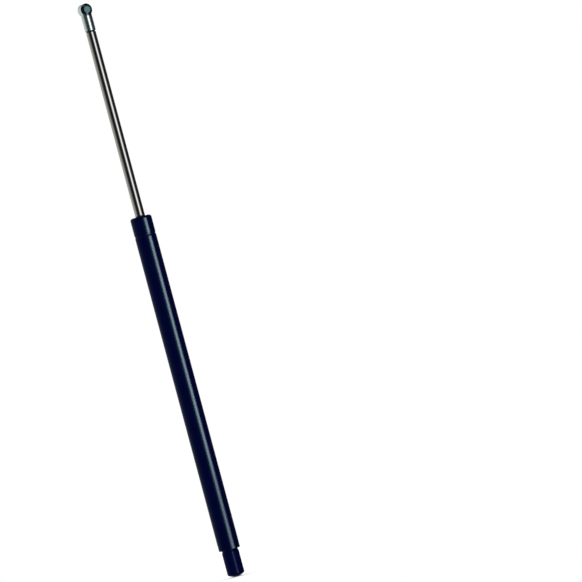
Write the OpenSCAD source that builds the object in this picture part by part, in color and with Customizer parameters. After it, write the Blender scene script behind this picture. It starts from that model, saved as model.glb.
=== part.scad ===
// Gas strut stay: a sealed cylinder tube with a sliding rod and a ball socket at each end.
// The strut stands along +Z, tube end down and rod end up, drawn at full extension.
// The origin is the centre of the ball seat in the tube-end socket; both seats open towards +Y.

/* [Cylinder tube] */
// Outer diameter of the tube
tube_d = 22; // [20:0.5:28]
// Wall thickness of the tube
tube_wall = 1.5; // [1.2:0.1:1.8]
// Length of the tube, end to end
tube_l = 348; // [290:1:600]
// Outer corner radius of the rolled top end
curl_r = 2.6; // [2.2:0.1:3]
// Diameter of the hole left in the rolled top end
lip_hole_d = 13.2; // [12.4:0.1:14]
// Depth of the rolled groove that carries the seal pack
groove_depth = 0.45; // [0.35:0.05:0.6]
// Height of the rolled groove on the outside
groove_h = 3.4; // [2.8:0.1:4.2]

/* [Piston rod] */
// Diameter of the rod
rod_d = 10; // [8:0.5:11]
// Travel of the rod from fully out to fully in
stroke = 190; // [150:1:230]
// Gap between the rod-end socket and the tube when fully in
stroke_gap = 4; // [2:0.5:10]
// Diameter of the spigot that carries the piston
spigot_d = 7; // [6:0.5:7.5]
// Height of the riveted head under the piston
rivet_h = 1.8; // [1.4:0.1:2.4]
// Diameter of the riveted head
rivet_d = 9.2; // [8.6:0.2:10]
// Depth of the relief groove next to the rod-end thread
relief_depth = 0.6; // [0.3:0.1:1]
// Height of that relief groove
relief_h = 1; // [0.6:0.1:2]

/* [Rod-end socket] */
// Diameter of the ball that snaps into the rod-end socket
rod_ball_d = 8; // [7:0.5:8.5]
// Outer diameter of the socket head
head_d = 12.8; // [12.6:0.1:15]
// Ball centre to the closed back of the head
head_back = 5.4; // [5.2:0.1:7]
// Ball centre to the open mouth of the head
head_mouth = 4.4; // [4.2:0.1:5]
// Diameter of the flat left in the middle of the back
back_flat_d = 7.4; // [5:0.1:8]
// How far the bevel round that flat falls away
back_bevel_h = 1.9; // [1:0.1:2.2]
// Diameter of the shank that screws onto the rod
shank_d = 11; // [10:0.1:12]
// Ball centre to the lower end of the shank
shank_reach = 22; // [20:0.5:30]
// Diameter of the wire clip that holds the ball
wire_d = 1.1; // [0.9:0.1:1.2]
// How far each leg of the wire reaches past the ball's waist towards its axis
wire_hold = 0.6; // [0.4:0.1:0.8]

/* [Tube-end socket] */
// Diameter of the ball that snaps into the tube-end socket
tube_ball_d = 10; // [9:0.5:10]
// Outer diameter of the tube-end socket
end_d = 17.6; // [17.2:0.1:20]
// Tube to the tip of the tube-end socket
end_l = 28.5; // [28:0.5:40]
// Ball centre to the tip
end_tip = 10.5; // [10:0.1:12]
// Height of the domed tip over its rim
dome_rise = 3.1; // [2:0.1:3.4]
// Radius that rounds the rim of the dome
dome_edge_r = 1.2; // [0.6:0.1:1.6]
// Ball centre to the flat face round the mouth
mouth_flat = 6.2; // [6:0.1:6.4]
// Height of the flat face above the ball centre
mouth_flat_top = 8.6; // [8:0.2:10]
// Thickness of the flat spring clip
clip_t = 1; // [0.8:0.1:1.2]
// How far the clip reaches past the ball's waist towards its axis
clip_hold = 0.9; // [0.6:0.1:1.2]
// Width of each arm of the clip
clip_arm_w = 1.25; // [1:0.05:1.3]
// Travel that frees the ball
clip_travel = 4.2; // [3.8:0.1:4.4]
// Height of the pull tab on the clip
clip_tab_h = 5; // [3:0.5:7]

/* [Tube end plug and stud] */
// Length of the plug inside the tube
plug_l = 10; // [8:0.5:16]
// Diameter of the neck between tube and tube-end socket
neck_d = 16.4; // [15:0.1:17]
// Height of that neck
neck_l = 2.2; // [1:0.1:4]
// Diameter of the end threads on the stud and on the rod
thread_d = 8; // [6:0.5:8]
// How far the stud reaches into the plug
stud_in_plug = 7; // [5:0.5:7.5]
// How far each end thread reaches into its socket
thread_l = 9; // [6:0.5:9.5]

/* [Seal pack] */
// Thickness of the washer under the rolled end
end_washer_t = 1.2; // [0.8:0.1:2]
// Length of the rod guide
guide_l = 7.5; // [6:0.5:12]
// Wall of the bearing liner inside the guide
liner_t = 1; // [0.8:0.1:1.2]
// Section diameter of the static O-ring
o_ring_d = 1.8; // [1.4:0.1:2]
// Length of the rod seal
seal_l = 4.6; // [4:0.2:7]
// Thickness of the support washer under the seal
support_t = 1.4; // [1:0.1:2.5]
// Height of the retainer ring that sits on the groove's bead
retainer_h = 1.2; // [1:0.1:2.5]

/* [Piston] */
// Length of the piston
piston_l = 6.6; // [6:0.2:10]
// Height of the piston ring
ring_h = 2; // [1.6:0.1:2.6]
// Radial thickness of the piston ring
ring_t = 1.8; // [1.4:0.1:2]
// Thickness of the stop washer above the piston
stop_washer_t = 1.5; // [1:0.1:2.5]
// Thickness of the flapper disc under the piston
disc_t = 0.4; // [0.3:0.1:0.6]
// Thickness of the backing washer above the riveted head
backing_t = 1.5; // [1:0.1:2.5]
// Diameter of the damping holes through the piston
orifice_d = 1.4; // [1:0.1:1.6]

/* [Fits] */
// Radial running clearance between moving round parts
run_gap = 0.05; // [0.03:0.01:0.08]
// Radial clearance of parts that are pressed or screwed together
seat_gap = 0.02; // [0.01:0.01:0.03]
// Clearance round the clips in their slots
clip_gap = 0.1; // [0.08:0.01:0.12]
// Gap left between the piston and its stop when fully out
stop_gap = 0.2; // [0.1:0.05:0.3]
// Radial clearance between the piston and the tube
piston_gap = 0.2; // [0.15:0.05:0.3]

/* [Hidden] */
$fn = 96;

// One small overrun that takes a cut clear of the surface it starts from
cut = 0.5;

// How far each seat's straight wall reaches behind the ball's waist
seat_back = 0.8;

// How much wider each mouth is, on the radius, between the clip and the open end
mouth_gap = 0.2;

// Radii shared by pieces that fit each other
tube_r = tube_d / 2;
bore_r = tube_r - tube_wall;
rod_r = rod_d / 2;
thread_r = thread_d / 2;
tube_seat_r = tube_ball_d / 2 + run_gap;
rod_seat_r = rod_ball_d / 2 + run_gap;

// Section radius of the rolled groove, and half the height of its bead inside the bore
groove_r = (groove_h * groove_h / 4 + groove_depth * groove_depth) / (2 * groove_depth);
bead_r = groove_r + tube_wall;
bead_half = sqrt(2 * bead_r * groove_depth - groove_depth * groove_depth);

// Heights from the tube's lower end up to the ball at the rod end
tube_z = end_l - end_tip;
tube_top = tube_z + tube_l;
washer_z = tube_top - tube_wall - end_washer_t;
guide_z = washer_z - guide_l;
seal_z = guide_z - seal_l;
support_z = seal_z - support_t;
retainer_z = support_z - retainer_h;
groove_z = retainer_z - bead_half;
stop_z = groove_z - bead_half - stop_gap - stop_washer_t;
piston_z = stop_z - piston_l;
disc_z = piston_z - disc_t;
backing_z = disc_z - backing_t;
shank_z = tube_top + stroke + stroke_gap;
rod_ball_z = shank_z + shank_reach;

// Chamfer on turned steel edges
chamfer = 0.5;

// Piston ring groove, a little taller and deeper than its ring
ring_play = 0.15;
ring_groove_h = ring_h + 2 * ring_play;
ring_r = bore_r - run_gap;
piston_r = bore_r - piston_gap;
ring_groove_z = piston_z + (piston_l - ring_groove_h) / 2;

// Flat clip: its plane lies past the ball's waist, towards the mouth
clip_slot_y = 2.55;
clip_slot_w = clip_t + 2 * clip_gap;
clip_y = clip_slot_y + clip_gap;
clip_hold_r = tube_ball_d / 2 - clip_hold;
clip_free_r = tube_seat_r + mouth_gap;
clip_half_z = clip_free_r + clip_arm_w;
clip_reach = sqrt(pow(end_d / 2, 2) - pow(clip_y + clip_t, 2));

// Wire clip: legs past the ball's waist, and a bow over the head in a groove
wire_r = wire_d / 2;
wire_x = rod_ball_d / 2 - wire_hold + wire_r;
wire_y = 2.6;
bow_r = head_d / 2 - wire_r - clip_gap;
bow_z = sqrt(bow_r * bow_r - wire_x * wire_x);
bow_angle = atan2(bow_z, wire_x);
leg_below = 3.2;

// Round bar with both ends chamfered, standing on z = 0
module bar(r, h, edge = chamfer) {
  rotate_extrude()
    polygon([[0, 0], [r - edge, 0], [r, edge], [r, h - edge], [r - edge, h], [0, h]]);
}

// Flat ring standing on z = 0
module ring(r_out, r_in, h) {
  rotate_extrude()
    translate([r_in, 0])
      square([r_out - r_in, h]);
}

// Cylinder along +Y from y0 to y1
module along_y(r, y0, y1, r_end = undef) {
  translate([0, y0, 0])
    rotate([-90, 0, 0])
      cylinder(r1 = r, r2 = is_undef(r_end) ? r : r_end, h = y1 - y0);
}

// Half section of a solid bar whose top corner is rounded
module rounded_top(r, h, corner) {
  square([r, h - corner]);
  square([r - corner, h]);
  translate([r - corner, h - corner])
    circle(r = corner);
}

// Drawn steel tube: open below, rolled in at the top, with one rolled groove
module cylinder_tube() {
  color("#060a26")
    translate([0, 0, tube_z])
      rotate_extrude()
        difference() {
          union() {
            difference() {
              rounded_top(tube_r, tube_l, curl_r);
              translate([0, -cut])
                rounded_top(bore_r, tube_l - tube_wall + cut, curl_r - tube_wall);
            }
            intersection() {
              translate([tube_r - groove_depth + groove_r, groove_z - tube_z])
                circle(r = bead_r);
              translate([bore_r - groove_depth - cut, 0])
                square([tube_wall + groove_depth + cut, tube_l - curl_r]);
            }
          }
          translate([tube_r - groove_depth + groove_r, groove_z - tube_z])
            circle(r = groove_r);
          translate([0, -cut])
            square([lip_hole_d / 2, tube_l + 2 * cut]);
        }
}

// Steel plug welded into the lower end, with a neck below and a tapped hole for the stud
module tube_end_plug() {
  color("#15171c")
    difference() {
      union() {
        translate([0, 0, tube_z])
          bar(bore_r - seat_gap, plug_l);
        translate([0, 0, tube_z - neck_l])
          cylinder(d = neck_d, h = neck_l + chamfer);
      }
      translate([0, 0, tube_z - neck_l - cut])
        cylinder(r = thread_r + seat_gap, h = neck_l + stud_in_plug + 2 * cut);
    }
}

// Threaded stud set in the plug, which the tube-end socket screws onto
module tube_end_stud() {
  color("#8f9499")
    translate([0, 0, tube_z - neck_l - thread_l])
      bar(thread_r, thread_l + neck_l + stud_in_plug);
}

// Half section of the socket body: a straight side and a domed tip with a rounded rim
module end_section() {
  r = end_d / 2;
  dome_r = (r * r + dome_rise * dome_rise) / (2 * dome_rise);
  dome_z = dome_r - end_tip;
  edge_x = r - dome_edge_r;
  edge_z = dome_z - sqrt(pow(dome_r - dome_edge_r, 2) - edge_x * edge_x);
  meet_x = edge_x * dome_r / (dome_r - dome_edge_r);
  top_z = tube_z - neck_l;
  polygon([[0, edge_z], [r, edge_z], [r, top_z - chamfer], [r - chamfer, top_z], [0, top_z]]);
  translate([edge_x, edge_z])
    circle(r = dome_edge_r);
  intersection() {
    translate([0, dome_z])
      circle(r = dome_r);
    translate([0, -end_tip - cut])
      square([meet_x, end_tip + cut + edge_z]);
  }
}

// Moulded black socket: a ball seat across its lower end and a slot for the flat clip
module tube_end_socket() {
  slope = end_d / 2 - mouth_flat + cut;
  lip_y = clip_slot_y + clip_slot_w;
  color("#070b22")
    difference() {
      rotate_extrude()
        end_section();
      rotate([90, 0, 90])
        linear_extrude(height = end_d + 2 * cut, center = true)
          polygon([
            [mouth_flat, -end_tip - cut],
            [mouth_flat + slope, -end_tip - cut],
            [mouth_flat + slope, mouth_flat_top + slope],
            [mouth_flat, mouth_flat_top]]);
      sphere(r = tube_seat_r);
      along_y(tube_seat_r, -seat_back, lip_y);
      along_y(clip_free_r, lip_y - cut, mouth_flat + cut);
      along_y(clip_free_r, mouth_flat - chamfer, mouth_flat + cut, clip_free_r + chamfer + cut);
      translate([-end_d / 2 - cut, clip_slot_y, -clip_half_z - clip_gap])
        cube([end_d + 2 * cut, clip_slot_w, 2 * (clip_half_z + clip_gap)]);
      translate([0, 0, tube_z - neck_l - thread_l - chamfer])
        cylinder(r = thread_r + seat_gap, h = thread_l + chamfer + cut);
    }
}

// Flat spring clip: pulled towards +X, its wide opening comes over the seat and frees the ball
module tube_socket_clip() {
  tab_x = end_d / 2 + clip_gap;
  tab_turn = 2;
  color("#a3a7ab")
    union() {
      translate([0, clip_y, 0])
        rotate([-90, 0, 0])
          linear_extrude(height = clip_t)
            difference() {
              union() {
                translate([-clip_reach, -clip_half_z])
                  square([clip_reach, 2 * clip_half_z]);
                intersection() {
                  circle(r = clip_half_z);
                  translate([0, -clip_half_z])
                    square(2 * clip_half_z);
                }
                translate([0, -clip_tab_h / 2])
                  square([tab_x + clip_t, clip_tab_h]);
              }
              circle(r = clip_hold_r);
              translate([-clip_travel, 0])
                circle(r = clip_free_r);
              translate([-clip_reach - cut, -clip_hold_r])
                square([clip_reach + cut - clip_travel, 2 * clip_hold_r]);
            }
      translate([tab_x, clip_y - tab_turn, -clip_tab_h / 2])
        cube([clip_t, clip_t + tab_turn, clip_tab_h]);
    }
}

// Steel washer between the rolled end and the rod guide
module end_washer() {
  color("#c2c5c8")
    translate([0, 0, washer_z])
      ring(tube_r - curl_r - seat_gap, rod_r + piston_gap, end_washer_t);
}

// Guide body: fills the bore, with a bevel under the rolled end and a groove for the O-ring
module rod_guide() {
  bevel = curl_r - tube_wall;
  r = bore_r - seat_gap;
  groove_in = o_ring_d + seat_gap;
  groove_mid = guide_l / 2;
  color("#7d8187")
    translate([0, 0, guide_z])
      rotate_extrude()
        polygon([
          [rod_r + run_gap + liner_t + seat_gap, 0],
          [r, 0],
          [r, groove_mid - o_ring_d / 2 - clip_gap],
          [r - groove_in, groove_mid - o_ring_d / 2 - clip_gap],
          [r - groove_in, groove_mid + o_ring_d / 2 + clip_gap],
          [r, groove_mid + o_ring_d / 2 + clip_gap],
          [r, guide_l - bevel],
          [r - bevel, guide_l],
          [rod_r + run_gap + liner_t + seat_gap, guide_l]]);
}

// Bearing liner pressed into the guide, which the rod runs in
module guide_liner() {
  color("#a6753a")
    translate([0, 0, guide_z])
      ring(rod_r + run_gap + liner_t, rod_r + run_gap, guide_l);
}

// Static O-ring between the guide and the tube
module guide_o_ring() {
  color("#1c1c1c")
    translate([0, 0, guide_z + guide_l / 2])
      rotate_extrude()
        translate([bore_r - seat_gap - o_ring_d / 2, 0])
          circle(d = o_ring_d, $fn = 32);
}

// Rubber rod seal: two lips on the rod and a relieved pocket facing the gas
module rod_seal() {
  lip = 0.6;
  lip_r = rod_r + run_gap;
  waist_r = lip_r + lip;
  color("#202020")
    translate([0, 0, seal_z])
      rotate_extrude()
        polygon([
          [lip_r, seal_l - lip],
          [waist_r, seal_l - 2 * lip],
          [waist_r, 2 * lip],
          [lip_r, lip],
          [waist_r, 0],
          [waist_r + lip, 0],
          [waist_r + 2 * lip, seal_l / 2],
          [bore_r - 2 * lip, seal_l / 2],
          [bore_r - lip, 0],
          [bore_r - seat_gap, 0],
          [bore_r - seat_gap, seal_l],
          [waist_r, seal_l]]);
}

// Steel washer that backs the seal
module seal_support_washer() {
  color("#b4b7ba")
    translate([0, 0, support_z])
      ring(bore_r - seat_gap, rod_r + piston_gap, support_t);
}

// Retainer ring that sits on the bead of the rolled groove and carries the seal pack
module seal_retainer() {
  rod_clear = 1;
  color("#3a3c40")
    translate([0, 0, retainer_z])
      ring(bore_r - seat_gap, rod_r + rod_clear, retainer_h);
}

// Ground rod: threaded tip above, piston spigot and riveted head below
module piston_rod() {
  spigot_r = spigot_d / 2;
  shoulder_z = stop_z + stop_washer_t;
  color("#b5b3ae")
    rotate_extrude()
      polygon([
        [0, backing_z - rivet_h],
        [rivet_d / 2 - chamfer, backing_z - rivet_h],
        [rivet_d / 2, backing_z - rivet_h + chamfer],
        [rivet_d / 2, backing_z],
        [spigot_r, backing_z],
        [spigot_r, shoulder_z],
        [rod_r, shoulder_z],
        [rod_r, shank_z - relief_h],
        [rod_r - relief_depth, shank_z - relief_h],
        [rod_r - relief_depth, shank_z],
        [thread_r, shank_z],
        [thread_r, shank_z + thread_l - chamfer],
        [thread_r - chamfer, shank_z + thread_l],
        [0, shank_z + thread_l]]);
}

// Washer on the rod's shoulder that meets the groove's bead when the rod is fully out
module piston_stop_washer() {
  notches = 4;
  notch_r = 1.2;
  color("#b4b7ba")
    translate([0, 0, stop_z])
      difference() {
        ring(piston_r, spigot_d / 2 + seat_gap, stop_washer_t);
        for (i = [0 : notches - 1])
          rotate([0, 0, 45 + i * 360 / notches])
            translate([piston_r, 0, -cut])
              cylinder(r = notch_r, h = stop_washer_t + 2 * cut);
      }
}

// Sintered piston with a ring groove and damping holes
module piston() {
  holes = 4;
  groove_floor = ring_r - ring_t - ring_play;
  hole_r = (spigot_d / 2 + groove_floor) / 2;
  color("#6c6f74")
    difference() {
      translate([0, 0, piston_z])
        ring(piston_r, spigot_d / 2 + seat_gap, piston_l);
      translate([0, 0, ring_groove_z])
        ring(piston_r + cut, groove_floor, ring_groove_h);
      for (i = [0 : holes - 1])
        rotate([0, 0, 45 + i * 360 / holes])
          translate([hole_r, 0, piston_z - cut])
            cylinder(d = orifice_d, h = piston_l + 2 * cut);
    }
}

// Split piston ring that floats in its groove and wipes the bore
module piston_ring() {
  split = 0.8;
  color("#e4e1d8")
    translate([0, 0, ring_groove_z + ring_play])
      difference() {
        ring(ring_r, ring_r - ring_t, ring_h);
        translate([0, -split / 2, -cut])
          cube([ring_r + cut, split, ring_h + 2 * cut]);
      }
}

// Thin spring disc that covers the damping holes on one stroke
module piston_flapper_disc() {
  color("#9fa4ab")
    translate([0, 0, disc_z])
      ring(piston_r - ring_t, spigot_d / 2 + seat_gap, disc_t);
}

// Washer between the flapper disc and the riveted head
module piston_backing_washer() {
  rim = 0.8;
  color("#b4b7ba")
    translate([0, 0, backing_z])
      ring(rivet_d / 2 + rim, spigot_d / 2 + seat_gap, backing_t);
}

// Turned steel socket: a round head across a shank, a blind ball seat and slots for the wire
module rod_end_socket() {
  r = head_d / 2;
  slot_y = wire_y - wire_r - clip_gap;
  slot_w = wire_d + 2 * clip_gap;
  leg_z = -leg_below - clip_gap - wire_r;
  mouth_r = rod_seat_r + mouth_gap;
  shank_l = shank_reach - head_d / 4;
  color("#a7b4b4")
    translate([0, 0, rod_ball_z])
      difference() {
        union() {
          along_y(back_flat_d / 2, -head_back, -head_back + back_bevel_h, r);
          along_y(r, -head_back + back_bevel_h, head_mouth - chamfer);
          along_y(r, head_mouth - chamfer, head_mouth, r - chamfer);
          translate([0, 0, -shank_reach])
            rotate_extrude()
              polygon([
                [0, 0],
                [shank_d / 2 - chamfer, 0],
                [shank_d / 2, chamfer],
                [shank_d / 2, shank_l],
                [0, shank_l]]);
        }
        translate([-r, head_mouth, -r - chamfer])
          cube([head_d, r, head_d]);
        sphere(r = rod_seat_r);
        along_y(rod_seat_r, -seat_back, slot_y + cut);
        along_y(mouth_r, slot_y, head_mouth + cut);
        along_y(mouth_r, head_mouth - chamfer, head_mouth + cut, mouth_r + chamfer + cut);
        for (side = [-1, 1])
          translate([side * wire_x - slot_w / 2, slot_y, leg_z])
            cube([slot_w, slot_w, r - leg_z]);
        intersection() {
          rotate([-90, 0, 0])
            translate([0, 0, slot_y])
              ring(r + cut, bow_r - wire_r - clip_gap, slot_w);
          translate([-wire_x - slot_w / 2, slot_y - cut, 0])
            cube([2 * wire_x + slot_w, slot_w + 2 * cut, r + cut]);
        }
        translate([0, 0, -shank_reach - cut])
          cylinder(r = thread_r + seat_gap, h = thread_l + chamfer + cut);
      }
}

// Wire clip: two straight legs past the ball joined by a bow over the head, pulled up to free it
module rod_socket_clip() {
  color("#b9bcbf")
    translate([0, wire_y, rod_ball_z]) {
      rotate([90, 0, 0])
        rotate([0, 0, bow_angle])
          rotate_extrude(angle = 180 - 2 * bow_angle)
            translate([bow_r, 0])
              circle(r = wire_r, $fn = 32);
      for (side = [-1, 1])
        translate([side * wire_x, 0, 0]) {
          translate([0, 0, -leg_below])
            cylinder(r = wire_r, h = leg_below + bow_z, $fn = 32);
          translate([0, 0, bow_z])
            sphere(r = wire_r, $fn = 32);
        }
    }
}

cylinder_tube();
tube_end_plug();
tube_end_stud();
tube_end_socket();
tube_socket_clip();
end_washer();
rod_guide();
guide_liner();
guide_o_ring();
rod_seal();
seal_support_washer();
seal_retainer();
piston_rod();
piston_stop_washer();
piston();
piston_ring();
piston_flapper_disc();
piston_backing_washer();
rod_end_socket();
rod_socket_clip();
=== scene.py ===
"""Gas strut stay: a black cylinder tube, a bright sliding rod and a ball socket at each end."""

from math import asin, atan2, cos, degrees, pi, radians, sin, sqrt

import bpy
from mathutils import Matrix, Vector


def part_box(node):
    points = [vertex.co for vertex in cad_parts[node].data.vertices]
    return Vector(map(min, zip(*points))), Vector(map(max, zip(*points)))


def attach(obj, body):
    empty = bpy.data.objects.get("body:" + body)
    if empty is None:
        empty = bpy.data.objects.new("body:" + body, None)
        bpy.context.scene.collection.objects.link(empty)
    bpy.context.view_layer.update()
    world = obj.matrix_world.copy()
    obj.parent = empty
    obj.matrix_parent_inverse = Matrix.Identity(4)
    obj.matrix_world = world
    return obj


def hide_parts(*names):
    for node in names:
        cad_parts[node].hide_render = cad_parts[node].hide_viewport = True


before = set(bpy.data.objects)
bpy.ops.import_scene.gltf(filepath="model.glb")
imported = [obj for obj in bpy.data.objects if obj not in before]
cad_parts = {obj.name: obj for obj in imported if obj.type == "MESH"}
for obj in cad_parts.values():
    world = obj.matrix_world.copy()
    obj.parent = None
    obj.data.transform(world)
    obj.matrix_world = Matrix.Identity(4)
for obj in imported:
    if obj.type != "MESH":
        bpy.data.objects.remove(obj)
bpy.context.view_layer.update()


# ---------------------------------------------------------------------------
# Camera: a long lens level with the middle of the strut, turned about its own
# line of sight so that the rod end leans to the left.
# ---------------------------------------------------------------------------
CAMERA_TURN = radians(-28)
CAMERA_LEAN = radians(15.02)
CAMERA_DISTANCE = 6.0
VIEW_WIDTH = 0.5882
VIEW_SHIFT = 0.1323
VIEW_DROP = 0.0008
SENSOR = 36
STRUT_MIDDLE = Vector((0, 0, 0.289))

towards_camera = Vector((sin(CAMERA_TURN), -cos(CAMERA_TURN), 0))
to_the_right = Vector((cos(CAMERA_TURN), sin(CAMERA_TURN), 0))
camera_right = cos(CAMERA_LEAN) * to_the_right - sin(CAMERA_LEAN) * Vector((0, 0, 1))
camera_up = sin(CAMERA_LEAN) * to_the_right + cos(CAMERA_LEAN) * Vector((0, 0, 1))
look_at = STRUT_MIDDLE + VIEW_SHIFT * camera_right - VIEW_DROP * camera_up
camera_place = look_at + CAMERA_DISTANCE * towards_camera

camera_data = bpy.data.cameras.new("camera")
camera_data.sensor_width = SENSOR
camera_data.lens = SENSOR * CAMERA_DISTANCE / VIEW_WIDTH
camera_data.clip_start = 0.05
camera_data.clip_end = 50
camera = bpy.data.objects.new("camera", camera_data)
bpy.context.collection.objects.link(camera)
camera_axes = Matrix((camera_right, camera_up, towards_camera)).transposed()
camera.matrix_world = Matrix.Translation(camera_place) @ camera_axes.to_4x4()
bpy.context.scene.camera = camera
bpy.context.scene.view_settings.view_transform = "Standard"


# ---------------------------------------------------------------------------
# Studio: a white room with a soft lamp on the right and a dimmer wall on the
# left, which the metal mirrors, strip lights that act on the black pieces only,
# and a plain pale floor under the strut's tip.
# ---------------------------------------------------------------------------
class Value:
    """The output of a node, which can be used in sums: each one adds its Math node."""

    def __init__(self, nodes, socket):
        self.nodes = nodes
        self.socket = socket

    def maths(self, operation, first, second=0.0):
        """Any Math node, for what has no sign of its own."""
        return self.nodes.add("ShaderNodeMath", {"operation": operation}, {0: first, 1: second})

    def __add__(self, other):
        return self.maths("ADD", self, other)

    def __radd__(self, other):
        return self.maths("ADD", other, self)

    def __sub__(self, other):
        return self.maths("SUBTRACT", self, other)

    def __rsub__(self, other):
        return self.maths("SUBTRACT", other, self)

    def __mul__(self, other):
        return self.maths("MULTIPLY", self, other)

    def __rmul__(self, other):
        return self.maths("MULTIPLY", other, self)

    def __truediv__(self, other):
        return self.maths("DIVIDE", self, other)

    def __pow__(self, other):
        return self.maths("POWER", self, other)


class Nodes:
    """A node tree that is written as sums and as calls of add."""

    def __init__(self, owner):
        owner.use_nodes = True
        self.tree = owner.node_tree
        self.tree.nodes.clear()

    def add(self, kind, settings, sockets, output=0):
        """Adds a node, with its settings and what goes into its sockets. Returns one output."""
        node = self.tree.nodes.new(kind)
        for name, setting in settings.items():
            if name == "stops":
                ramp = node.color_ramp
                while len(ramp.elements) < len(setting):
                    ramp.elements.new(1.0)
                for stop, (place, colour) in zip(ramp.elements, setting):
                    stop.position = place
                    stop.color = (*colour, 1.0)
            else:
                setattr(node, name, setting)
        for name, value in sockets.items():
            socket = node.inputs[name]
            if isinstance(value, Value):
                self.tree.links.new(value.socket, socket)
            elif socket.type == "RGBA" and len(value) == 3:
                socket.default_value = (*value, 1.0)
            else:
                socket.default_value = value
        return Value(self, node.outputs[output]) if len(node.outputs) else None

    def mix(self, mask, first, second):
        """The first colour where the mask is 0, the second where it is 1."""
        return self.add("ShaderNodeMix", {"data_type": "RGBA"}, {0: mask, 6: first, 7: second}, 2)


# Brightness that the metal mirrors, by degrees from the camera's side towards the right
AROUND = [
    (-180, 0.30), (-150, 0.42), (-130, 0.55), (-110, 0.56), (-90, 0.43), (-72, 0.25), (-58, 0.12),
    (-46, 0.03), (-36, 0.008), (-10, 0.008), (0, 0.05), (10, 0.28), (20, 0.98), (28, 1.6),
    (36, 1.5), (44, 0.85), (53, 0.32), (62, 0.08), (72, 0.012), (88, 0.008), (110, 0.010),
    (135, 0.04), (160, 0.15), (180, 0.30)]
WALL_TINT = (1.0, 1.0, 0.93)
LAMP_TINT = (1.0, 0.98, 1.02)
AMBIENT = 1.25
WALL_ENDS = -20
BRIGHTEST = 2.0
camera_bearing = degrees(atan2(towards_camera.y, towards_camera.x))


def half_turn(angle):
    """The same angle, between -180 and 180 degrees."""
    return (angle + 180) % 360 - 180


def round_the_studio(turn):
    """Brightness at a turn from the camera's side, between the two nearest marks of AROUND."""
    for (low, dim), (high, bright) in zip(AROUND, AROUND[1:]):
        if low <= turn <= high:
            return dim + (bright - dim) * (turn - low) / (high - low)


bearings = [half_turn(mark[0] + camera_bearing) for mark in AROUND[1:]]
studio_stops = []
for bearing in sorted([-180.0, 180.0] + bearings):
    turn = half_turn(bearing - camera_bearing)
    tint = WALL_TINT if turn < WALL_ENDS else LAMP_TINT
    bright = round_the_studio(turn) / BRIGHTEST
    studio_stops.append(((bearing + 180) / 360, [bright * part for part in tint]))
world = bpy.data.worlds.new("studio")
bpy.context.scene.world = world
studio = Nodes(world)
direction = studio.add("ShaderNodeTexCoord", {}, {}, "Generated")
apart = {side: studio.add("ShaderNodeSeparateXYZ", {}, {0: direction}, side) for side in "XYZ"}
bearing = apart["Y"].maths("ARCTAN2", apart["Y"], apart["X"]) / (2 * pi) + 0.5
ring = studio.add("ShaderNodeValToRGB", {"stops": studio_stops}, {0: bearing}, "Color")
steepness = apart["Z"].maths("ABSOLUTE", apart["Z"])
level = studio.add(
    "ShaderNodeMapRange", {"interpolation_type": "SMOOTHSTEP"},
    {"Value": steepness, "From Min": 0.45, "From Max": 0.95, "To Min": 1.0, "To Max": 0.25})
wall = studio.add(
    "ShaderNodeVectorMath", {"operation": "SCALE"}, {0: ring, "Scale": level * BRIGHTEST})
sees_gloss = studio.add("ShaderNodeLightPath", {}, {}, "Is Glossy Ray")
sees_camera = studio.add("ShaderNodeLightPath", {}, {}, "Is Camera Ray")
for_light = studio.mix(sees_gloss, (AMBIENT,) * 3, wall)
for_all = studio.mix(sees_camera, for_light, (1.0, 1.0, 1.0))
background = studio.add("ShaderNodeBackground", {}, {"Color": for_all, "Strength": 1.0})
studio.add("ShaderNodeOutputWorld", {}, {"Surface": background})

FLOOR_R = 0.9
FLOOR_RIM = 0.02
floor_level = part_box("tube_end_socket")[0].z
bpy.ops.object.select_all(action="DESELECT")
bpy.ops.mesh.primitive_circle_add(
    vertices=96, radius=FLOOR_R, fill_type="NGON", location=(0, 0, floor_level))
bpy.ops.object.mode_set(mode="EDIT")
bpy.ops.mesh.inset(thickness=FLOOR_RIM)
bpy.ops.object.mode_set(mode="OBJECT")
bpy.ops.object.transform_apply(location=True)
floor = bpy.context.object
floor.name = "floor"
floor_finish = bpy.data.materials.new("pale_floor")
floor_nodes = Nodes(floor_finish)
place = floor_nodes.add("ShaderNodeTexCoord", {}, {}, "Object")
mottle = floor_nodes.add(
    "ShaderNodeTexNoise", {}, {"Vector": place, "Scale": 6.0, "Detail": 3.0}, "Fac")
floor_colour = floor_nodes.mix(mottle, (0.93, 0.93, 0.93), (0.96, 0.96, 0.96))
floor_shader = floor_nodes.add("ShaderNodeBsdfPrincipled", {}, {
    "Base Color": floor_colour, "Roughness": 0.9, "Specular IOR Level": 0.1})
floor_nodes.add("ShaderNodeOutputMaterial", {}, {"Surface": floor_shader})
floor.data.materials.append(floor_finish)
floor.visible_glossy = False


LAMP_DISTANCE = 1.5


def strip_light(name, turn, height, width, tall, watts_per_area, colour, only_on):
    """An upright strip at a turn from the camera's side, which lights some pieces only."""
    lamp = bpy.data.lights.new(name, "AREA")
    lamp.shape = "RECTANGLE"
    lamp.size = width
    lamp.size_y = tall
    lamp.energy = watts_per_area * width * tall
    lamp.color = colour
    holder = bpy.data.objects.new(name, lamp)
    bpy.context.collection.objects.link(holder)
    bearing = radians(camera_bearing + turn)
    away = Vector((cos(bearing), sin(bearing), 0)) * LAMP_DISTANCE
    holder.location = STRUT_MIDDLE + away + Vector((0, 0, height))
    holder.rotation_euler = (STRUT_MIDDLE - holder.location).to_track_quat("-Z", "Y").to_euler()
    holder.visible_camera = False
    holder.visible_diffuse = False
    holder.light_linking.receiver_collection = only_on
    holder.light_linking.blocker_collection = only_on


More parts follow.
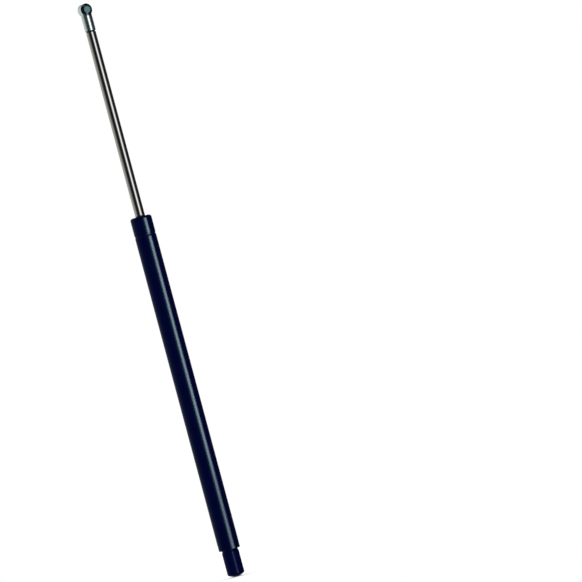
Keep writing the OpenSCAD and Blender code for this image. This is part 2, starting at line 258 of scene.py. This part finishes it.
# Three strips, one in front of the other, leave a stripe on the tube with soft edges
dark_tube = bpy.data.collections.new("dark_tube")
STRIP_TURN = 46.5
STRIP_COLOUR = (1.32, 1.0, 0.95)
for strip, width, height, tall in (
        ("wide", 0.94, -0.28, 1.30), ("middle", 0.62, -0.05, 0.84), ("narrow", 0.34, -0.28, 1.30)):
    strip_light("strip_" + strip, STRIP_TURN, height, width, tall, 46, STRIP_COLOUR, dark_tube)


# ---------------------------------------------------------------------------
# Cylinder tube: cold drawn steel, rolled in at the rod end over the seal pack
# and grooved once below it, then stove enamelled in a near-black navy.
# ---------------------------------------------------------------------------
MM = 0.001


def set_up(name, add_primitive, **where):
    """Starts a piece: nothing else selected, one primitive at its size and place, in edit mode."""
    if bpy.context.mode != "OBJECT":
        bpy.ops.object.mode_set(mode="OBJECT")
    bpy.ops.object.select_all(action="DESELECT")
    add_primitive(**where)
    piece = bpy.context.object
    piece.name = name
    bpy.ops.object.transform_apply(location=True, rotation=True, scale=True)
    bpy.ops.object.mode_set(mode="EDIT")
    bpy.ops.mesh.select_all(action="SELECT")
    return piece


def arc(middle_r, middle_z, radius, start, end, steps):
    """Points of an arc in the half section, from start to end degrees."""
    turns = [radians(start + (end - start) * i / steps) for i in range(steps + 1)]
    return [(middle_r + radius * cos(t), middle_z + radius * sin(t)) for t in turns]


def turn_up(name, section, around=128, closed=False):
    """Draws a ring up through the points of a half section, in millimetres, as on a lathe.
    A closed section ends where it began; any other has both of its ends filled."""
    radius, height = section[0]
    piece = set_up(
        name, bpy.ops.mesh.primitive_circle_add, vertices=around, radius=radius * MM,
        fill_type="NOTHING", location=(0, 0, height * MM))
    if not closed:
        bpy.ops.mesh.edge_face_add()
    for next_radius, next_height in section[1:]:
        bpy.ops.mesh.extrude_region_move(
            TRANSFORM_OT_translate={"value": (0, 0, (next_height - height) * MM)})
        if next_radius != radius:
            scale = next_radius / radius
            bpy.ops.transform.resize(
                value=(scale, scale, 1), center_override=(0, 0, next_height * MM))
        radius, height = next_radius, next_height
    bpy.ops.mesh.select_all(action="SELECT")
    bpy.ops.mesh.remove_doubles(threshold=1e-7)
    bpy.ops.mesh.normals_make_consistent(inside=False)
    return piece


def settle(piece, edge=0.0, sharpest=30, steps=2):
    """Ends the work on a piece: its place in its mesh, doubled points merged, its edges broken
    by a bevel where a width in millimetres is given, and smooth shading."""
    if bpy.context.mode != "OBJECT":
        bpy.ops.object.mode_set(mode="OBJECT")
    bpy.ops.object.select_all(action="DESELECT")
    piece.select_set(True)
    bpy.context.view_layer.objects.active = piece
    bpy.ops.object.transform_apply(location=True, rotation=True, scale=True)
    bpy.ops.object.mode_set(mode="EDIT")
    bpy.ops.mesh.select_all(action="SELECT")
    bpy.ops.mesh.remove_doubles(threshold=0.004 * MM)
    bpy.ops.mesh.dissolve_degenerate(threshold=0.002 * MM)
    bpy.ops.object.mode_set(mode="OBJECT")
    if edge:
        broken = piece.modifiers.new("broken edges", "BEVEL")
        broken.width = edge * MM
        broken.segments = steps
        broken.limit_method = "ANGLE"
        broken.angle_limit = radians(sharpest)
        broken.use_clamp_overlap = False
        bpy.ops.object.modifier_apply(modifier=broken.name)
    bpy.ops.object.shade_smooth_by_angle(angle=radians(sharpest))
    return piece


def span(node):
    """Lowest and highest corner of a CAD node, in millimetres."""
    low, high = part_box(node)
    return low / MM, high / MM


TUBE_WALL = 1.5
CURL_R = 2.6
LIP_HOLE_R = 6.6
LIP_EDGE = 0.3
FOOT_EDGE = 0.25
GROOVE_DEPTH = 0.45
GROOVE_REACH = 2.0
GROOVE_DROP = 2.1
GROOVE_STEPS = 8

tube_low, tube_high = span("cylinder_tube")
TUBE_R = tube_high.x
BORE_R = TUBE_R - TUBE_WALL
GROOVE_Z = span("seal_retainer")[0].z - GROOVE_DROP


def groove_at(z):
    """How deep the rolled groove is at a height."""
    away = min(abs(z - GROOVE_Z) / GROOVE_REACH, 1.0)
    return GROOVE_DEPTH * cos(away * pi / 2) ** 2


groove_heights = [
    GROOVE_Z + GROOVE_REACH * i / GROOVE_STEPS for i in range(-GROOVE_STEPS, GROOVE_STEPS + 1)]
curl_r_middle = TUBE_R - CURL_R
curl_z_middle = tube_high.z - CURL_R
tube_section = [(TUBE_R - FOOT_EDGE, tube_low.z)]
tube_section += arc(TUBE_R - FOOT_EDGE, tube_low.z + FOOT_EDGE, FOOT_EDGE, -90, 0, 3)[1:]
tube_section += [(TUBE_R - groove_at(z), z) for z in groove_heights]
tube_section += arc(curl_r_middle, curl_z_middle, CURL_R, 0, 90, 12)
tube_section += arc(LIP_HOLE_R + LIP_EDGE, tube_high.z - LIP_EDGE, LIP_EDGE, 90, 180, 3)
tube_section += arc(
    LIP_HOLE_R + LIP_EDGE, tube_high.z - TUBE_WALL + LIP_EDGE, LIP_EDGE, 180, 270, 3)
tube_section += arc(curl_r_middle, curl_z_middle, CURL_R - TUBE_WALL, 90, 0, 6)
tube_section += [(BORE_R - groove_at(z), z) for z in reversed(groove_heights)]
tube_section += [(BORE_R, tube_low.z), tube_section[0]]
tube = settle(turn_up("tube", tube_section, closed=True))


class Finish(Nodes):
    """A material for one surface: a shader, and the patterns that vary it over the piece."""

    def __init__(self, name):
        self.material = bpy.data.materials.new(name)
        super().__init__(self.material)
        self.place = self.add("ShaderNodeTexCoord", {}, {}, "Object")

    def noise(self, size, detail=2.0, roughness=0.5, stretch=None):
        """Cloudy noise, 0 to 1, whose patches are about this many millimetres across."""
        place = self.place
        if stretch:
            place = self.add("ShaderNodeMapping", {}, {"Vector": place, "Scale": stretch})
        scale = 1 / (size * MM)
        return self.add("ShaderNodeTexNoise", {}, {
            "Vector": place, "Scale": scale, "Detail": detail, "Roughness": roughness}, "Fac")

    def between(self, value, low, high, from_low=0.0, from_high=1.0):
        """Value carried smoothly from one range to another, and held at its ends."""
        return self.add("ShaderNodeMapRange", {"interpolation_type": "SMOOTHSTEP"}, {
            "Value": value, "From Min": from_low, "From Max": from_high,
            "To Min": low, "To Max": high})

    def along(self, side="Z"):
        """Distance along an axis, in millimetres."""
        return self.add("ShaderNodeSeparateXYZ", {}, {0: self.place}, side) * (1 / MM)

    def bump(self, height, depth, strength=1.0):
        """Relief whose full height is this many millimetres."""
        return self.add(
            "ShaderNodeBump", {}, {"Height": height, "Distance": depth * MM, "Strength": strength})

    def coat(self, piece, sockets):
        """Ends the material and gives it to a piece."""
        shader = self.add("ShaderNodeBsdfPrincipled", {}, sockets)
        self.add("ShaderNodeOutputMaterial", {}, {"Surface": shader})
        self.give(piece)

    def give(self, *pieces):
        """Gives the material to pieces, in place of what they had."""
        for piece in pieces:
            piece.data.materials.clear()
            piece.data.materials.append(self.material)


def navy_enamel(name, rims):
    """Near-black enamel with fine orange peel, faint handling marks, and thin paint at its rims,
    which are given as heights and reaches in millimetres."""
    paint = Finish(name)
    z = paint.along()
    peel = paint.noise(0.9, 1.5)
    cloud = paint.noise(26, 3.0)
    specks = paint.noise(0.35, 2.0)
    scuffs = paint.noise(5.0, 4.0, 0.6, (1.0, 1.0, 0.16))
    scuff = paint.between(scuffs, 0.0, 1.0, 0.66, 0.78)
    thin = 0.0
    for rim, reach in rims:
        near = paint.between(z.maths("ABSOLUTE", z - rim), 1.0, 0.0, 0.0, reach)
        thin = near * paint.between(specks, 0.0, 1.0, 0.45, 0.75) + thin
    colour = paint.mix(cloud, (0.0001, 0.0006, 0.0160), (0.0003, 0.0012, 0.0200))
    colour = paint.mix(scuff * 0.35, colour, (0.004, 0.007, 0.024))
    colour = paint.mix(thin * 0.5, colour, (0.030, 0.034, 0.046))
    gloss = 0.13 + cloud * 0.04 + scuff * 0.06 + thin * 0.12
    relief = paint.bump(peel * 0.7 + specks * 0.12, 0.004)
    return paint, {
        "Base Color": colour, "Roughness": gloss, "Normal": relief,
        "Specular IOR Level": 0.085, "Specular Tint": (0.46, 0.89, 1.0)}


tube_paint, tube_sockets = navy_enamel("tube_enamel", [(tube_low.z, 0.8), (tube_high.z, 1.0)])
tube_z = tube_paint.along()
tube_r = (tube_paint.along("X") ** 2 + tube_paint.along("Y") ** 2) ** 0.5
off_groove = tube_z.maths("ABSOLUTE", tube_z - GROOVE_Z)
in_groove = tube_paint.between(off_groove, 1.0, 0.0, 0.4, 1.1)
on_curl = tube_paint.between(tube_r, 1.0, 0.0, TUBE_R - 2.0, TUBE_R - 0.5)
on_curl = on_curl * tube_paint.between(tube_z, 0.0, 1.0, tube_high.z - 2.2, tube_high.z - 1.4)
tube_gloss = tube_sockets["Roughness"] + in_groove * 0.12 + on_curl * 0.45
tube_sockets["Roughness"] = tube_gloss
tube_paint.coat(tube, tube_sockets)
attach(tube, "barrel")
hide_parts("cylinder_tube")
dark_tube.objects.link(tube)


# ---------------------------------------------------------------------------
# Tube end plug: turned steel, welded into the open end of the tube and painted
# with it. Only its neck and the weld bead round it show below the tube.
# ---------------------------------------------------------------------------
NECK_R = 8.2
THREAD_HOLE_R = 4.02
BEAD_R = 0.55
BEAD_DROP = 0.34
BEAD_INSET = 0.2
BEAD_TOP = 0.05
RIPPLES = 70
CHAMFER = 0.5

plug_low, plug_high = span("tube_end_plug")
stud_high = span("tube_end_stud")[1].z
plug_section = [
    (THREAD_HOLE_R, stud_high + CHAMFER), (THREAD_HOLE_R, plug_low.z), (NECK_R, plug_low.z),
    (NECK_R, tube_low.z)]
bead_middle = BORE_R - BEAD_INSET
bead = arc(0, 0, 1, 180, 360, 8)  # half a circle below, then pressed flat
plug_section += [(bead_middle + x * BEAD_R, tube_low.z + z * BEAD_DROP) for x, z in bead]
plug_section += [
    (plug_high.x, tube_low.z + BEAD_TOP), (plug_high.x, plug_high.z - CHAMFER),
    (plug_high.x - CHAMFER, plug_high.z)]
plug = settle(turn_up("plug", plug_section), edge=0.12)

plug_paint, plug_sockets = navy_enamel("plug_enamel", [(plug_low.z, 0.4)])
plug_x, plug_y = plug_paint.along("X"), plug_paint.along("Y")
ripple_turn = plug_x.maths("ARCTAN2", plug_y, plug_x)
wander = plug_paint.noise(2.5, 2.0)
ripples = ripple_turn.maths("SINE", ripple_turn * RIPPLES + wander * 9)
from_middle = (plug_x ** 2 + plug_y ** 2) ** 0.5
on_bead = plug_paint.between(from_middle, 0.0, 1.0, NECK_R + 0.2, NECK_R + 0.5)
plug_sockets["Normal"] = plug_paint.bump((ripples + wander * 0.5) * on_bead, 0.05)
plug_paint.coat(plug, plug_sockets)
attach(plug, "barrel")
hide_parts("tube_end_plug")


# ---------------------------------------------------------------------------
# Tube-end socket: a black moulding with a domed tip, screwed onto the stud.
# The ball seat opens through a flat on its side, and a slot takes the flat clip.
# ---------------------------------------------------------------------------
DOME_RISE = 3.1
DOME_EDGE_R = 1.2
MOUTH_FLAT = 6.2
MOUTH_FLAT_TOP = 8.6
BALL_SEAT_R = 5.05
CLIP_MOUTH_R = 5.25
SEAT_BACK = 0.8
SLOT_LOW, SLOT_HIGH = 2.55, 3.75
SLOT_HALF = 6.6
THREAD_L = 9.0
SEAT_AROUND = 96
# How far a cutting tool stands out past the piece that it cuts
PAST = 1.0


def combine(piece, tool, how="DIFFERENCE"):
    """Cuts a piece with a tool, or welds the tool on, and clears the tool away."""
    bpy.ops.object.mode_set(mode="OBJECT")
    bpy.ops.object.select_all(action="DESELECT")
    piece.select_set(True)
    bpy.context.view_layer.objects.active = piece
    work = piece.modifiers.new("work", "BOOLEAN")
    work.operation = how
    work.object = tool
    work.solver = "EXACT"
    bpy.ops.object.modifier_apply(modifier=work.name)
    bpy.data.objects.remove(tool)
    return piece


def block(name, low, high):
    """A rectangular block between two corners, in millimetres."""
    low, high = Vector(low) * MM, Vector(high) * MM
    return set_up(
        name, bpy.ops.mesh.primitive_cube_add, size=1, location=(low + high) / 2, scale=high - low)


def across(piece, ball_z=0.0):
    """Lays a turned piece on its side, so that its axis points out of a ball seat's mouth."""
    bpy.ops.object.mode_set(mode="OBJECT")
    piece.rotation_euler = (radians(-90), 0, 0)
    piece.location.z = ball_z * MM
    bpy.ops.object.transform_apply(location=True, rotation=True)
    return piece


def seat_section(ball_r, wall_end, mouth_r, mouth):
    """Half section of a ball seat: round floor, straight wall, wider mouth with a chamfer.
    The floor stops just short of the axis, where turn_up fills a small ring."""
    floor_end = degrees(asin(-SEAT_BACK / ball_r))
    return arc(0, 0, ball_r, -88, floor_end, 14) + [
        (ball_r, -SEAT_BACK), (ball_r, wall_end), (mouth_r, wall_end), (mouth_r, mouth - CHAMFER),
        (mouth_r + 2 * CHAMFER, mouth + CHAMFER)]


end_low, end_high = span("tube_end_socket")
END_R = end_high.x
dome_r = (END_R ** 2 + DOME_RISE ** 2) / (2 * DOME_RISE)
dome_z = dome_r + end_low.z
edge_r = END_R - DOME_EDGE_R
edge_z = dome_z - sqrt((dome_r - DOME_EDGE_R) ** 2 - edge_r ** 2)
edge_turn = degrees(atan2(edge_z - dome_z, edge_r))
socket_section = [
    (THREAD_HOLE_R, end_high.z - THREAD_L - CHAMFER), (THREAD_HOLE_R, end_high.z),
    (END_R - CHAMFER, end_high.z), (END_R, end_high.z - CHAMFER)]
socket_section += arc(edge_r, edge_z, DOME_EDGE_R, 0, edge_turn, 6)
socket_section += arc(0, dome_z, dome_r, edge_turn, -89, 12)[1:]
end_socket = turn_up("ball_socket_black", socket_section)

mouth_tool = block(
    "mouth tool", (-END_R - PAST, MOUTH_FLAT, end_low.z - PAST),
    (END_R + PAST, END_R + PAST, MOUTH_FLAT_TOP))
bpy.ops.mesh.select_all(action="DESELECT")
bpy.ops.object.mode_set(mode="OBJECT")
# The flat's upper end slants outwards at 45 degrees
for corner in mouth_tool.data.vertices:
    corner.select = corner.co.y > END_R * MM and corner.co.z > 0
bpy.ops.object.mode_set(mode="EDIT")
bpy.ops.transform.translate(value=(0, 0, (END_R + PAST - MOUTH_FLAT) * MM))
combine(end_socket, mouth_tool)
combine(end_socket, across(turn_up(
    "seat tool", seat_section(BALL_SEAT_R, SLOT_HIGH, CLIP_MOUTH_R, MOUTH_FLAT),
    SEAT_AROUND)))
combine(end_socket, block(
    "slot tool", (-END_R - PAST, SLOT_LOW, -SLOT_HALF), (END_R + PAST, SLOT_HIGH, SLOT_HALF)))
settle(end_socket, sharpest=25)

moulded = Finish("moulded_black")
flow = moulded.noise(7.0, 3.0, 0.6, (1.0, 1.0, 0.3))
grain = moulded.noise(0.25, 2.0)
rubbed = moulded.between(moulded.noise(2.2, 4.0, 0.65), 0.0, 1.0, 0.60, 0.74)
black = moulded.mix(flow, (0.0001, 0.0008, 0.0190), (0.0004, 0.0016, 0.0240))
black = moulded.mix(rubbed * 0.4, black, (0.006, 0.009, 0.030))
moulded.coat(end_socket, {
    "Base Color": black, "Roughness": 0.19 + grain * 0.05 + rubbed * 0.08,
    "Normal": moulded.bump(grain * 0.6 + flow * 0.8, 0.006),
    "Specular IOR Level": 0.06, "Specular Tint": (0.42, 0.62, 1.0)})
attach(end_socket, "barrel")
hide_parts("tube_end_socket")
black_socket = bpy.data.collections.new("black_socket")
black_socket.objects.link(end_socket)
strip_light(
    "strip_low", turn=30, height=0.1, width=0.35, tall=2.0, watts_per_area=37.14,
    colour=(1.0, 1.0, 1.0), only_on=black_socket)


# ---------------------------------------------------------------------------
# Flat clip: a plate of spring steel in the slot of the black socket. It holds
# the ball in; pulled by its tab, its wide opening comes over the seat.
# ---------------------------------------------------------------------------
CLIP_HOLD_R = 4.1
CLIP_TRAVEL = 4.2
CLIP_GAP = 0.1
TAB_HALF = 2.5
TAB_T = 1.0
STRIP_START = 3.0

clip_low, clip_high = span("tube_socket_clip")
clip_y = SLOT_LOW + CLIP_GAP
clip_top = SLOT_HIGH - CLIP_GAP
clip_half = SLOT_HALF - CLIP_GAP
flat_clip = across(turn_up("flat_clip", [(clip_half, clip_y), (clip_half, clip_top)]))
combine(flat_clip, block(
    "half plate", (clip_low.x, clip_y, -clip_half), (0, clip_top, clip_half)), "UNION")
combine(flat_clip, block(
    "tab strip", (STRIP_START, clip_y, -TAB_HALF), (clip_high.x, clip_top, TAB_HALF)), "UNION")
combine(flat_clip, block(
    "tab", (clip_high.x - TAB_T, clip_low.y, -TAB_HALF),
    (clip_high.x, clip_top, TAB_HALF)), "UNION")
combine(flat_clip, across(turn_up(
    "ball hole", [(CLIP_HOLD_R, 0), (CLIP_HOLD_R, MOUTH_FLAT)], SEAT_AROUND)))
wide_hole = across(turn_up(
    "wide hole", [(CLIP_MOUTH_R, 0), (CLIP_MOUTH_R, MOUTH_FLAT)], SEAT_AROUND))
wide_hole.location.x = -CLIP_TRAVEL * MM
combine(flat_clip, wide_hole)
combine(flat_clip, block(
    "open side", (clip_low.x - PAST, 0, -CLIP_HOLD_R), (-CLIP_TRAVEL, MOUTH_FLAT, CLIP_HOLD_R)))
settle(flat_clip, edge=0.12, sharpest=32)

spring_steel = Finish("spring_steel")
rolling = spring_steel.noise(0.12, 2.0, 0.5, (1.0, 1.0, 0.04))
stain = spring_steel.noise(3.0, 3.0)
steel = spring_steel.mix(stain, (0.36, 0.36, 0.37), (0.46, 0.46, 0.45))
spring_steel.coat(flat_clip, {
    "Base Color": steel, "Metallic": 1.0, "Roughness": 0.24 + rolling * 0.12 + stain * 0.08,
    "Normal": spring_steel.bump(rolling, 0.002)})
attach(flat_clip, "tube_clip")
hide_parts("tube_socket_clip")


# ---------------------------------------------------------------------------
# End washer: a stamped steel ring under the rolled end of the tube. A sliver
# of it shows round the rod, through the hole in the rolled end.
# ---------------------------------------------------------------------------
WASHER_HOLE_R = 5.2

washer_low, washer_high = span("end_washer")
washer_section = [
    (WASHER_HOLE_R, washer_low.z), (WASHER_HOLE_R, washer_high.z), (washer_high.x, washer_high.z),
    (washer_high.x, washer_low.z), (WASHER_HOLE_R, washer_low.z)]
end_washer = settle(turn_up("end_washer_ring", washer_section, closed=True), edge=0.1)

plain_steel = Finish("plain_steel")
lay = plain_steel.noise(0.15, 2.0, 0.5, (0.2, 1.0, 1.0))
oil = plain_steel.noise(4.0, 3.0)
plain_steel.coat(end_washer, {
    "Base Color": plain_steel.mix(oil, (0.42, 0.42, 0.41), (0.52, 0.51, 0.49)), "Metallic": 1.0,
    "Roughness": 0.28 + lay * 0.12 + oil * 0.08, "Normal": plain_steel.bump(lay, 0.003)})
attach(end_washer, "barrel")
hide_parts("end_washer")


# ---------------------------------------------------------------------------
# Inside the tube: guide, liner, seals, washers, retainer and the piston with
# its ring and spring disc. They keep their shapes and get their own finishes.
# ---------------------------------------------------------------------------
plain_steel.give(*[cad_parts[name] for name in (
    "tube_end_stud", "seal_support_washer", "piston_stop_washer", "piston_backing_washer")])
spring_steel.give(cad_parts["piston_flapper_disc"])


def inner_finish(name, node, dark, light, cloud_size, grain_size, roughness, depth, metallic=0.0):
    """A cloudy colour between two shades with a fine grain, for a piece inside the tube.
    Sizes and the depth of the grain are in millimetres."""
    finish = Finish(name)
    cloud = finish.noise(cloud_size, 3.0)
    grain = finish.noise(grain_size, 2.0)
    finish.coat(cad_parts[node], {
        "Base Color": finish.mix(cloud, dark, light), "Metallic": metallic,
        "Roughness": roughness + grain * 0.12 + cloud * 0.06, "Normal": finish.bump(grain, depth)})
    return finish


inner_finish(
    "die_cast_guide", "rod_guide", (0.20, 0.21, 0.22), (0.31, 0.32, 0.33),
    cloud_size=2.5, grain_size=0.3, roughness=0.38, depth=0.01, metallic=1.0)
inner_finish(
    "liner_bronze", "guide_liner", (0.42, 0.21, 0.07), (0.56, 0.32, 0.13),
    cloud_size=1.5, grain_size=0.2, roughness=0.30, depth=0.006, metallic=1.0)
seal_rubber = inner_finish(
    "seal_rubber", "rod_seal", (0.012, 0.012, 0.013), (0.022, 0.022, 0.023),
    cloud_size=2.0, grain_size=0.2, roughness=0.55, depth=0.008)
seal_rubber.give(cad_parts["guide_o_ring"])
inner_finish(
    "retainer_plastic", "seal_retainer", (0.03, 0.032, 0.036), (0.05, 0.052, 0.056),
    cloud_size=3.0, grain_size=0.2, roughness=0.42, depth=0.006)
inner_finish(
    "sintered_iron", "piston", (0.13, 0.13, 0.14), (0.24, 0.24, 0.25),
    cloud_size=0.6, grain_size=0.15, roughness=0.48, depth=0.02, metallic=1.0)
inner_finish(
    "ring_plastic", "piston_ring", (0.66, 0.62, 0.52), (0.78, 0.75, 0.66),
    cloud_size=2.0, grain_size=0.2, roughness=0.40, depth=0.004)


# ---------------------------------------------------------------------------
# Piston rod: steel bar ground and hard plated bright, with the fine rings that
# grinding leaves. It is relieved next to the thread and riveted at the piston.
# ---------------------------------------------------------------------------
SPIGOT_R = 3.5
RIVET_R = 4.6
ROD_R = 5.0
THREAD_R = 4.0
RELIEF = 0.6
RELIEF_H = 1.0

rod_low, rod_high = span("piston_rod")
rivet_top = span("piston_backing_washer")[0].z
shoulder = span("piston_stop_washer")[1].z
shank_low = span("rod_end_socket")[0].z
relief_low = shank_low - RELIEF_H
rod_section = [
    (RIVET_R - CHAMFER, rod_low.z), (RIVET_R, rod_low.z + CHAMFER), (RIVET_R, rivet_top),
    (SPIGOT_R, rivet_top), (SPIGOT_R, shoulder), (ROD_R, shoulder),
    (ROD_R, relief_low), (ROD_R - RELIEF, relief_low),
    (ROD_R - RELIEF, shank_low), (THREAD_R, shank_low), (THREAD_R, rod_high.z - CHAMFER),
    (THREAD_R - CHAMFER, rod_high.z)]
rod = settle(turn_up("rod", rod_section), edge=0.1)

bright = Finish("bright_plate")
rod_z = bright.along()
rings = bright.add("ShaderNodeTexNoise", {"noise_dimensions": "1D"}, {
    "W": rod_z * 9.0, "Scale": 1.0, "Detail": 3.0, "Roughness": 0.7}, "Fac")
haze = bright.noise(14.0, 3.0, 0.55, (1.0, 1.0, 0.35))
strokes = bright.between(bright.noise(1.2, 3.0, 0.6, (1.0, 1.0, 0.03)), 0.0, 1.0, 0.64, 0.74)
plate = bright.mix(haze, (0.600, 0.598, 0.585), (0.660, 0.655, 0.650))
plate = bright.mix(rings * 0.25, plate, (0.50, 0.50, 0.50))
# Painted shade: from the relief up, the plate is darkened to near black, as the shade in the relief
# under the socket's shank.
painted_shade_by_relief = bright.between(rod_z, 0.0, 1.0, relief_low - 0.15, relief_low)
plate = bright.mix(painted_shade_by_relief * 0.96, plate, (0.02, 0.02, 0.02))
bright.coat(rod, {
    "Base Color": plate, "Metallic": 1.0,
    "Roughness": 0.03 + rings * 0.03 + haze * 0.02 + strokes * 0.05,
    "Normal": bright.bump(rings + strokes * 0.3, 0.0008)})
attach(rod, "rod")
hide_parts("piston_rod")


# ---------------------------------------------------------------------------
# Rod-end socket: steel turned in two directions and zinc plated. A round head,
# closed and bevelled at its back, stands across a shank screwed onto the rod.
# ---------------------------------------------------------------------------
HEAD_BACK = 5.4
BACK_FLAT_R = 3.7
BACK_BEVEL_H = 1.9
HEAD_MOUTH = 4.4
SHANK_R = 5.5
SMALL_SEAT_R = 4.05
SMALL_MOUTH_R = 4.25
WIRE_Y = 2.6
WIRE_X = 3.95
WIRE_SLOT = 0.65
BOW_R = 5.75
LEG_REACH = 3.2
# The seat's wall runs a little past the side of the wire's slot, so that no faces coincide
SEAT_PAST = 0.02

head_high = span("rod_end_socket")[1]
HEAD_R = head_high.x
BALL_Z = head_high.z - HEAD_R
bevel_y = BACK_BEVEL_H - HEAD_BACK
head_section = [
    (BACK_FLAT_R, -HEAD_BACK), (HEAD_R, bevel_y), (HEAD_R, HEAD_MOUTH - CHAMFER),
    (HEAD_R - CHAMFER, HEAD_MOUTH)]
rod_socket = across(turn_up("ball_socket_plated", head_section), BALL_Z)
shank_section = [
    (THREAD_HOLE_R, shank_low + THREAD_L + CHAMFER), (THREAD_HOLE_R, shank_low),
    (SHANK_R - CHAMFER, shank_low), (SHANK_R, shank_low + CHAMFER),
    (SHANK_R, BALL_Z - HEAD_R - 2 * CHAMFER), (SHANK_R, BALL_Z - HEAD_R / 2)]
combine(rod_socket, turn_up("shank", shank_section), "UNION")
combine(rod_socket, block(
    "mouth tool", (-HEAD_R - PAST, HEAD_MOUTH, BALL_Z - HEAD_R - CHAMFER),
    (HEAD_R + PAST, HEAD_R + PAST, BALL_Z + HEAD_R + PAST)))
seat_wall_end = WIRE_Y - WIRE_SLOT + SEAT_PAST
combine(rod_socket, across(turn_up(
    "seat tool", seat_section(SMALL_SEAT_R, seat_wall_end, SMALL_MOUTH_R, HEAD_MOUTH),
    SEAT_AROUND), BALL_Z))
for side in (-WIRE_X, WIRE_X):
    combine(rod_socket, block(
        "slot tool", (side - WIRE_SLOT, WIRE_Y - WIRE_SLOT, BALL_Z - LEG_REACH - WIRE_SLOT),
        (side + WIRE_SLOT, WIRE_Y + WIRE_SLOT, BALL_Z + HEAD_R + PAST)))
groove_section = [
    (BOW_R - WIRE_SLOT, WIRE_Y - WIRE_SLOT), (HEAD_R + CHAMFER, WIRE_Y - WIRE_SLOT),
    (HEAD_R + CHAMFER, WIRE_Y + WIRE_SLOT), (BOW_R - WIRE_SLOT, WIRE_Y + WIRE_SLOT),
    (BOW_R - WIRE_SLOT, WIRE_Y - WIRE_SLOT)]
groove_tool = across(turn_up("groove tool", groove_section, closed=True), BALL_Z)
combine(groove_tool, block(
    "upper half", (-WIRE_X, 0, BALL_Z),
    (WIRE_X, HEAD_MOUTH, BALL_Z + HEAD_R + PAST)), "INTERSECT")
combine(rod_socket, groove_tool)
settle(rod_socket, sharpest=9)

zinc = Finish("zinc_plate")
zinc_x, zinc_y, zinc_z = [zinc.along(side) for side in "XYZ"]
turning = zinc.add("ShaderNodeTexNoise", {"noise_dimensions": "1D"}, {
    "W": zinc_z * 5.0, "Scale": 1.0, "Detail": 3.0, "Roughness": 0.6}, "Fac")
blush = zinc.noise(3.5, 3.0)
grain = zinc.noise(0.2, 2.0)
off_axis = (zinc_x ** 2 + (zinc_z - BALL_Z) ** 2) ** 0.5
behind = zinc.between(zinc_y, 1.0, 0.0, bevel_y - 0.1, bevel_y)
# Painted reflection: the middle of the head's flat back, fading out before its rim, is coloured a
# deeper teal, as the reflection that the flat face shows.
painted_reflection_on_back = zinc.between(zinc_y, 1.0, 0.0, 0.1 - HEAD_BACK, 0.4 - HEAD_BACK)
painted_reflection_on_back = painted_reflection_on_back * zinc.between(off_axis, 1.0, 0.0, BACK_FLAT_R - 1.5, BACK_FLAT_R)
# Painted dark reflection: the bevelled ring between the back flat and the side of the head is
# coloured dark navy.
painted_dark_reflection_on_bevel = behind * zinc.between(off_axis, 1.0, 0.0, HEAD_R - 0.3, HEAD_R) * (1.0 - painted_reflection_on_back)
painted_dark_reflection_on_bevel = painted_dark_reflection_on_bevel * zinc.between(off_axis, 0.0, 1.0, BACK_FLAT_R - 1.8, BACK_FLAT_R - 1.6)
foot = shank_low + CHAMFER
# Painted shade: the plate darkens to near black on the shank's bottom chamfer and its end, as the
# shade at the shank's foot.
painted_shade_at_foot = zinc.between(zinc_z, 1.0, 0.0, foot, foot + 0.2)
zinc_colour = zinc.mix(blush, (0.78, 0.97, 0.97), (0.83, 1.0, 1.0))
# Painted dark reflection on the bevel ring.
zinc_colour = zinc.mix(painted_dark_reflection_on_bevel * 0.88, zinc_colour, (0.02, 0.06, 0.10))
# Painted shade at the shank's foot.
zinc_colour = zinc.mix(painted_shade_at_foot * 0.85, zinc_colour, (0.02, 0.03, 0.03))
# Painted teal reflection on the back flat.
zinc_colour = zinc.mix(painted_reflection_on_back * 0.85, zinc_colour, (0.20, 0.66, 0.62))
zinc.coat(rod_socket, {
    "Base Color": zinc_colour, "Metallic": 1.0,
    "Roughness": 0.07 + turning * 0.06 + grain * 0.03 + blush * 0.03,
    "Normal": zinc.bump(turning * 0.5 + grain * 0.5, 0.0015)})
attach(rod_socket, "rod")
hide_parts("rod_end_socket")


# ---------------------------------------------------------------------------
# Wire clip: plated spring wire, bent into two legs past the ball and a bow over
# the head. Pulled up, it frees the ball.
# ---------------------------------------------------------------------------
WIRE_R = 0.55
BEND_R = 1.2

leg_bottom = BALL_Z - LEG_REACH
lean = atan2(sqrt((BOW_R - BEND_R) ** 2 - (WIRE_X - BEND_R) ** 2), WIRE_X - BEND_R)
leg_top = BALL_Z + (BOW_R - BEND_R) * sin(lean)
wire = set_up(
    "wire_clip", bpy.ops.mesh.primitive_circle_add, vertices=24, radius=WIRE_R * MM,
    fill_type="NGON", location=(WIRE_X * MM, WIRE_Y * MM, leg_bottom * MM))
bpy.ops.mesh.extrude_region_move(
    TRANSFORM_OT_translate={"value": (0, 0, (leg_top - leg_bottom) * MM)})
for turn, x, z, steps in ((lean, WIRE_X - BEND_R, leg_top, 6), (pi - 2 * lean, 0, BALL_Z, 18),
                          (lean, BEND_R - WIRE_X, leg_top, 6)):
    bpy.ops.mesh.spin(steps=steps, angle=turn, center=(x * MM, WIRE_Y * MM, z * MM), axis=(0, 1, 0))
bpy.ops.mesh.extrude_region_move(
    TRANSFORM_OT_translate={"value": (0, 0, (leg_bottom - leg_top) * MM)})
bpy.ops.mesh.select_all(action="SELECT")
bpy.ops.mesh.remove_doubles(threshold=1e-7)
bpy.ops.mesh.normals_make_consistent(inside=False)
settle(wire, edge=0.15, sharpest=40, steps=3)
spring_steel.give(wire)
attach(wire, "rod_clip")
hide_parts("rod_socket_clip")
